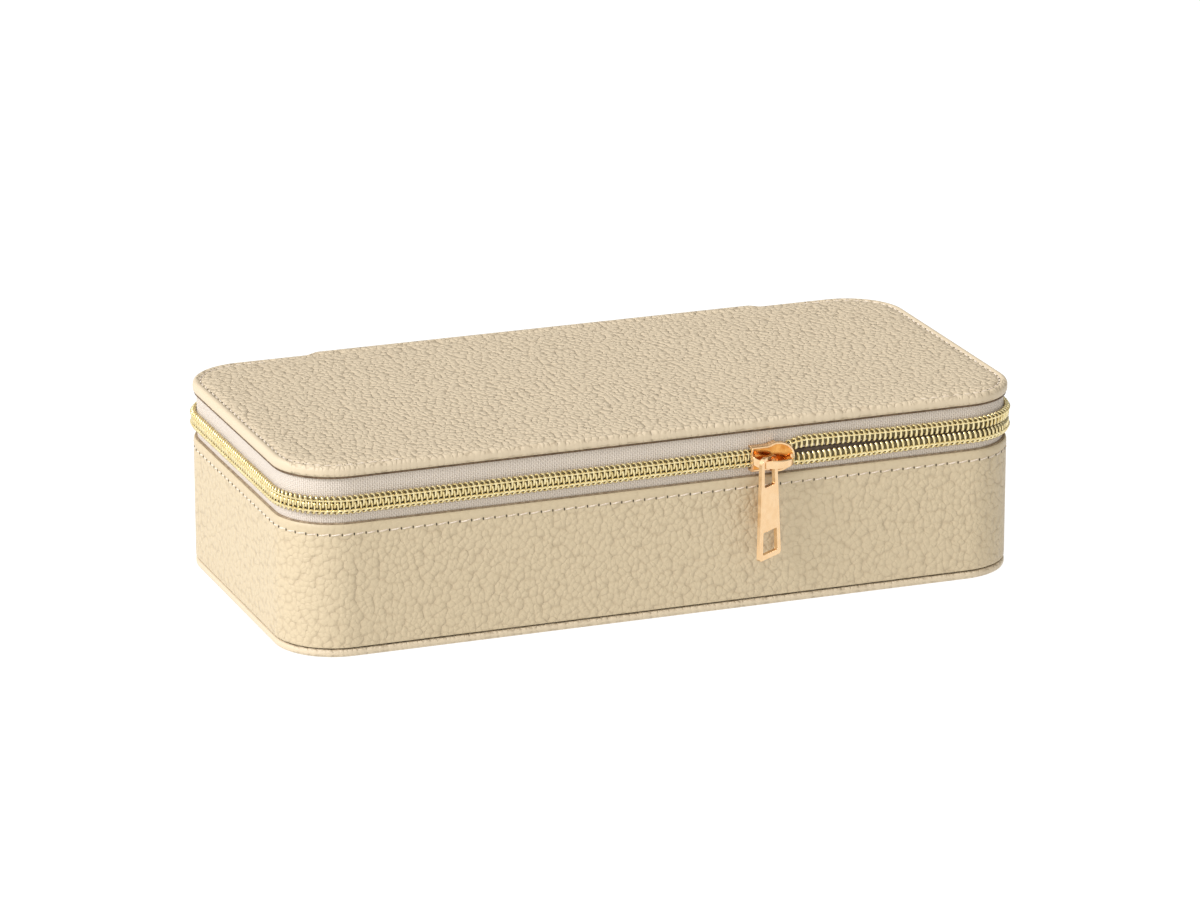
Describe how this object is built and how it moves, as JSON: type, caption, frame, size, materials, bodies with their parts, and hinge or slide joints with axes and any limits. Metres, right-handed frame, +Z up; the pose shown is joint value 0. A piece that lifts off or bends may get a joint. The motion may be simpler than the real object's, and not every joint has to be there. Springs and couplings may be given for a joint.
{
  "type": "jewelry box",
  "caption": "Rectangular zippered jewellery box in pebbled leather: hinged lid, coil zipper with slider and pull, lined inside with ring rolls and divided compartments.",
  "frame": {"origin": "centre of the flat underside, the face the box rests on", "axes": "+X along the length, to the right as the zipper front is seen; -Y towards that front; +Z up"},
  "size_m": [0.2012, 0.1035, 0.0505],
  "materials": {
    "leather": "pebbled beige, satin",
    "thread": "pale pinkish sewing thread",
    "zipper_tape": "woven greige tape, matt",
    "coil": "metallised pale gold",
    "slider_metal": "polished rose gold plating",
    "board": "raw stiffener board",
    "velvet": "short-pile velvet"
  },
  "bodies": {
    "base": {"bottom_cover": "leather", "bottom_board": "board", "wall_cover": "leather", "wall_board": "board", "wall_lining": "velvet", "floor_lining": "velvet", "wall_thread": "thread", "lower_tape": "zipper_tape", "lower_coil": "coil", "spine_cover": "leather", "spine_lining": "velvet", "ring_roll_1": "velvet", "ring_roll_2": "velvet", "ring_roll_3": "velvet", "ring_roll_4": "velvet", "ring_roll_5": "velvet", "divider_main": "velvet", "divider_long": "velvet", "divider_front": "velvet", "divider_back": "velvet"},
    "lid": {"lid_cover": "leather", "lid_board": "board", "lid_frame": "board", "lid_lining": "velvet", "lid_pad": "velvet", "lid_thread_left": "thread", "lid_thread_right": "thread", "upper_tape": "zipper_tape", "upper_coil": "coil"},
    "slider": {"slider_body": "slider_metal", "slider_bridge": "slider_metal"},
    "pull": {"pull_tab": "slider_metal"}
  },
  "joints": [
    {"name": "lid_hinge", "type": "hinge", "parent": "base", "child": "lid", "pos_m": [0, 0.048, 0.0401], "axis": [-1, 0, 0], "range_deg": [0, 160], "deforming": ["spine_cover", "spine_lining", "lower_coil", "upper_coil"]},
    {"name": "zip_slide", "type": "slide", "parent": "base", "child": "slider", "axis": [1, 0, 0], "range_m": [-0.106, 0.05], "deforming": ["lower_coil", "upper_coil"]},
    {"name": "pull_swing", "type": "hinge", "parent": "slider", "child": "pull", "pos_m": [0.02595, -0.0519, 0.0391], "axis": [-0.515, 0.8572, 0], "range_deg": [0, 170]}
  ]
}
